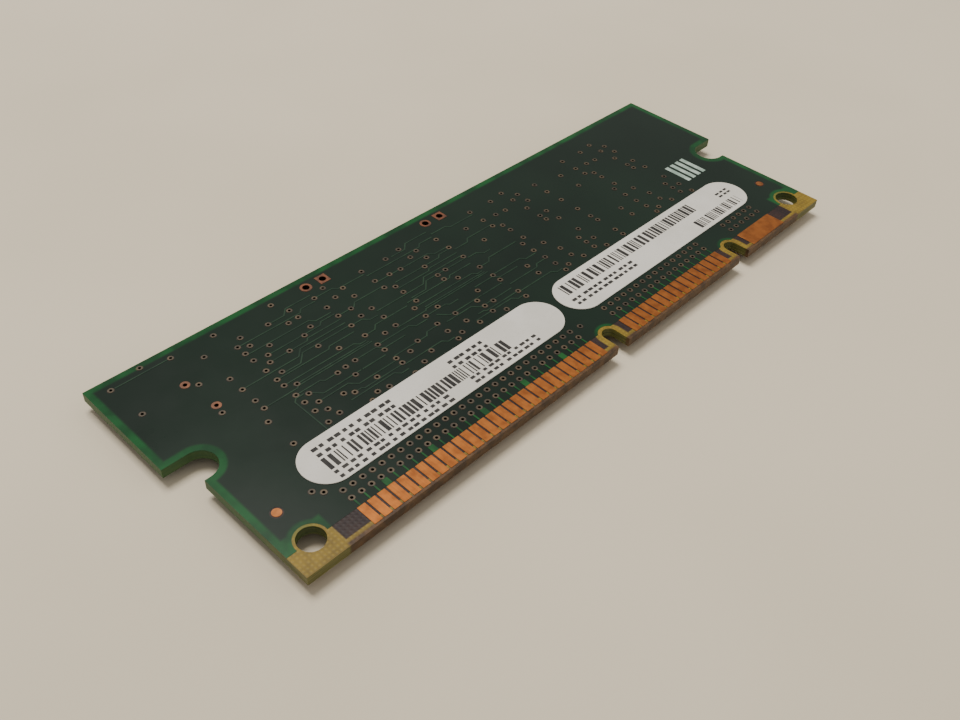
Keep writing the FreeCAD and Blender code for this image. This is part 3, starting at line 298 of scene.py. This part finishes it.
def paper_finish():
    """Matte label paper: fibres in its surface and a little grey in its colour."""
    finish = Finish("label_paper")
    fibres = finish.noise(4200, 6.0, (1.0, 2.2, 1.0))
    colour = finish.varied(srgb(206, 203, 196), srgb(196, 193, 185), finish.noise(160))
    colour = finish.mix(finish.rise(fibres, 0.55, 0.8), colour, srgb(186, 182, 172))
    finish.bump(fibres, 0.01 * MM)
    return finish.set(colour, 0.72, specular=0.25)


def floor_finish():
    """Warm off-white table top with a faint mottle."""
    finish = Finish("table_top")
    colour = finish.varied(srgb(210, 199, 178), srgb(204, 193, 172), finish.noise(14))
    finish.bump(finish.noise(900, 4.0), 0.02 * MM)
    return finish.set(colour, 0.75, specular=0.15)


ALONG_Y = (1.0, 0.06, 1.0)
MASK_FINISH = mask_finish()
LAMINATE_FINISH = laminate_finish()
TRACE_FINISH = coated_finish("coated_trace", srgb(38, 60, 44), srgb(30, 48, 37))
TAIL_FINISH = coated_finish("coated_tail", srgb(26, 82, 38), srgb(20, 62, 32))
GOLD_FINISH = metal_finish("gold_contact", srgb(156, 94, 42), srgb(126, 72, 32), 0.48, ALONG_Y)
MARK_FINISH = metal_finish("gold_mark", srgb(156, 98, 54), srgb(124, 76, 42), 0.46)
PLANE_FINISH = metal_finish("inner_copper", srgb(176, 96, 60), srgb(132, 68, 42), 0.45)
VIA_FINISH = barrel_finish("via", srgb(80, 68, 50), srgb(56, 49, 38))
POWER_FINISH = barrel_finish("supply_via", srgb(122, 76, 48), srgb(92, 58, 38))
HEADER_FINISH = barrel_finish("header_hole", srgb(112, 64, 38), srgb(78, 46, 30))
MOULD_FINISH = dull_finish("mould_compound", srgb(50, 50, 53), srgb(38, 38, 41), 0.62, 6000, 0.02 * MM)
LEAD_FINISH = metal_finish("lead_frame", srgb(200, 200, 196), srgb(150, 150, 146), 0.36)
SILICON_FINISH = metal_finish("silicon", srgb(110, 112, 124), srgb(84, 86, 100), 0.2)
WIRE_FINISH = metal_finish("gold_wire", srgb(232, 190, 104), srgb(204, 156, 76), 0.25)
SOLDER_FINISH = metal_finish("solder", srgb(196, 198, 200), srgb(140, 142, 146), 0.32)
CERAMIC_FINISH = dull_finish("capacitor_ceramic", srgb(150, 118, 84), srgb(122, 94, 66), 0.55, 5000,
                             0.01 * MM)
ALUMINA_FINISH = dull_finish("alumina", srgb(222, 220, 212), srgb(200, 198, 190), 0.6, 5000, 0.01 * MM)
COAT_FINISH = dull_finish("resistor_coat", srgb(30, 30, 33), srgb(20, 20, 23), 0.35, 3000, 0.01 * MM)
INK_FINISH = dull_finish("white_ink", srgb(170, 186, 176), srgb(128, 150, 138), 0.6, 3500, 0.008 * MM)
PAPER_FINISH = paper_finish()
PRINT_FINISH = dull_finish("label_print", srgb(26, 24, 24), srgb(44, 42, 40), 0.6, 5000, 0.002 * MM, 0.3)

# Finish of each CAD node, by the start of its name.
NODE_FINISHES = (
    (("upper_solder_mask", "lower_solder_mask"), MASK_FINISH),
    (("core_laminate", "upper_prepreg", "lower_prepreg"), LAMINATE_FINISH),
    (("upper_traces", "lower_traces"), TRACE_FINISH),
    (("upper_contact_tails", "lower_contact_tails"), TAIL_FINISH),
    (("upper_contacts", "lower_contacts", "upper_wide_contact"), GOLD_FINISH),
    (("upper_fiducials", "lower_fiducials"), MARK_FINISH),
    (("ground_plane", "power_plane"), PLANE_FINISH),
    (("contact_vias", "field_vias"), VIA_FINISH),
    (("power_vias",), POWER_FINISH),
    (("header_barrels",), HEADER_FINISH),
    (("memory_body", "serial_body"), MOULD_FINISH),
    (("memory_leads", "serial_leads", "die_paddle"), LEAD_FINISH),
    (("memory_die", "serial_die"), SILICON_FINISH),
    (("bond_wires", "serial_paddle_and_wires"), WIRE_FINISH),
    (("memory_lands", "memory_solder", "small_part", "capacitor_end", "resistor_end"), SOLDER_FINISH),
    (("capacitor_bodies",), CERAMIC_FINISH),
    (("resistor_bodies",), ALUMINA_FINISH),
    (("resistor_coatings",), COAT_FINISH),
    (("upper_silkscreen", "lower_silkscreen"), INK_FINISH),
    (("left_label", "right_label"), PAPER_FINISH),
)


def finish_of(name):
    """The finish of a CAD node."""
    for starts, material in NODE_FINISHES:
        if name.startswith(starts):
            return material
    raise ValueError(f"no finish for {name}")


for name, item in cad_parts.items():
    item.data.materials.clear()
    item.data.materials.append(finish_of(name))


def soften(name, width):
    """Round the sharp edges of a CAD node as it is shown."""
    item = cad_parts[name]
    weld = item.modifiers.new("join", "WELD")
    weld.merge_threshold = 0.0005 * MM
    bevel = item.modifiers.new("soften", "BEVEL")
    bevel.width = width
    bevel.segments = 2
    bevel.limit_method = "ANGLE"
    bevel.angle_limit = math.radians(40)


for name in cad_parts:
    if name.startswith(("upper_contacts", "lower_contacts", "upper_wide_contact")):
        soften(name, 0.02 * MM)


# ---- pieces made here ------------------------------------------------------------------------


def piece(name, mesh, material):
    """A piece of the object that rides on the board."""
    item = bpy.data.objects.new(name, mesh)
    bpy.context.scene.collection.objects.link(item)
    mesh.materials.append(material)
    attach(item, "root")
    return item


PRINT_THICKNESS = 0.006 * MM
LABEL_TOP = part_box("left_label")[1].z - PRINT_THICKNESS


def stadium(low, high, segments=40):
    """Points round a label, whose ends are half circles."""
    radius = (high.y - low.y) / 2
    middle = (high.y + low.y) / 2
    points = []
    for centre, start in ((high.x - radius, -math.pi / 2), (low.x + radius, math.pi / 2)):
        for number in range(segments + 1):
            angle = start + math.pi * number / segments
            points.append((centre + radius * math.cos(angle), middle + radius * math.sin(angle)))
    return points


def label(side):
    """A rounded paper label with a soft cut edge, in place of the plain CAD one."""
    low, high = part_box(f"{side}_label")
    mesh = bpy.data.meshes.new(f"{side}_label_paper")
    shape = bmesh.new()
    base = [shape.verts.new((x, y, low.z)) for x, y in stadium(low, high)]
    face = shape.faces.new(base)
    grown = bmesh.ops.extrude_face_region(shape, geom=[face])
    lifted = [item for item in grown["geom"] if isinstance(item, bmesh.types.BMVert)]
    bmesh.ops.translate(shape, verts=lifted, vec=(0, 0, LABEL_TOP - low.z))
    rim = [edge for edge in shape.edges if all(vertex in lifted for vertex in edge.verts)]
    bmesh.ops.bevel(shape, geom=rim, offset=0.025 * MM, segments=3, affect="EDGES")
    bmesh.ops.recalc_face_normals(shape, faces=shape.faces)
    shape.to_mesh(mesh)
    shape.free()
    item = piece(f"{side}_label_paper", mesh, PAPER_FINISH)
    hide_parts(f"{side}_label")


def print_boxes(name, boxes):
    """Ink on a label: a thin box for each mark, as (left, right, bottom, top) in mm above the edge."""
    mesh = bpy.data.meshes.new(name)
    shape = bmesh.new()
    for left, right, bottom, top in boxes:
        size = Vector(((right - left) * MM, (top - bottom) * MM, PRINT_THICKNESS))
        middle = Vector(((left + right) / 2 * MM, EDGE + (bottom + top) / 2 * MM,
                         LABEL_TOP + PRINT_THICKNESS / 2))
        place = Matrix.Translation(middle) @ Matrix.Diagonal((*size, 1))
        bmesh.ops.create_cube(shape, size=1, matrix=place)
    shape.to_mesh(mesh)
    shape.free()
    return piece(name, mesh, PRINT_FINISH)


def bar_row(left, right, bottom, top, chance):
    """Bars of uneven widths and gaps, between two ends."""
    boxes = []
    x = left
    while x < right:
        width = chance.choice((0.17, 0.17, 0.34, 0.51))
        boxes.append((x, min(x + width, right), bottom, top))
        x += width + chance.choice((0.17, 0.17, 0.34, 0.5))
    return boxes


def dash_row(left, right, bottom, top, chance):
    """A row of plain stacked dashes, a pair on each place a millimetre apart."""
    boxes = []
    stroke = (top - bottom) * 0.34
    for number in range(round(right - left)):
        for low in (bottom, top - stroke):
            start = left + number + chance.choice((0.0, 0.1, 0.2))
            boxes.append((start, start + chance.choice((0.5, 0.62, 0.74)), low, low + stroke))
    return boxes


chance = random.Random(4)
label("left")
label("right")
print_boxes("left_label_print",
            dash_row(-35.3, -24.3, 10.35, 11.75, chance) + dash_row(-16.3, -10.2, 10.25, 11.6, chance)
            + bar_row(-35.4, -8.9, 8.25, 10.05, chance)
            + dash_row(-35.4, -19.3, 6.75, 7.95, chance) + dash_row(-16.1, -4.9, 6.95, 8.1, chance))
print_boxes("right_label_print",
            bar_row(3.1, 30.0, 9.95, 11.85, chance) + dash_row(2.5, 14.6, 7.9, 9.15, chance)
            + bar_row(27.2, 36.9, 7.0, 8.6, chance) + dash_row(35.0, 38.1, 9.5, 10.5, chance))


# ---- surroundings ----------------------------------------------------------------------------


def floor():
    """A wide table top under the module."""
    mesh = bpy.data.meshes.new("table_top")
    shape = bmesh.new()
    bmesh.ops.create_grid(shape, x_segments=1, y_segments=1, size=1.5)
    shape.to_mesh(mesh)
    shape.free()
    item = bpy.data.objects.new("table_top", mesh)
    item.location.z = LOW.z - 0.02 * MM
    bpy.context.scene.collection.objects.link(item)
    mesh.materials.append(floor_finish())


def lamp(name, place, size, power, colour):
    """A square soft light aimed at the module."""
    data = bpy.data.lights.new(name, "AREA")
    data.size = size
    data.energy = power
    data.color = colour
    item = bpy.data.objects.new(name, data)
    item.location = place
    item.rotation_euler = (-Vector(place)).to_track_quat("-Z", "Y").to_euler()
    bpy.context.scene.collection.objects.link(item)


def surroundings():
    """Even light from the room."""
    world = bpy.data.worlds.new("room")
    bpy.context.scene.world = world
    world.use_nodes = True
    world.node_tree.nodes["Background"].inputs["Color"].default_value = (1.0, 0.96, 0.9, 1.0)
    world.node_tree.nodes["Background"].inputs["Strength"].default_value = 0.5


def camera():
    """The camera of the reference view."""
    forward = Vector((0.5490, 0.4883, -0.6784)).normalized()
    up = Vector((0.4652, 0.4958, 0.7333))
    up = (up - forward * up.dot(forward)).normalized()
    right = forward.cross(up)
    data = bpy.data.cameras.new("camera")
    data.lens = 37.23
    data.sensor_width = 36.0
    data.clip_start = 0.005
    data.clip_end = 10.0
    item = bpy.data.objects.new("camera", data)
    turn = Matrix((right, up, -forward)).transposed().to_4x4()
    item.matrix_world = Matrix.Translation((-0.074128, -0.062263, 0.077877)) @ turn
    bpy.context.scene.collection.objects.link(item)
    bpy.context.scene.camera = item


floor()
lamp("window", (0.02, 0.25, 0.75), 0.32, 6.6, (1.0, 0.96, 0.9))
lamp("fill", (0.6, -0.35, 0.5), 0.8, 0.9, (1.0, 0.96, 0.9))
surroundings()
camera()
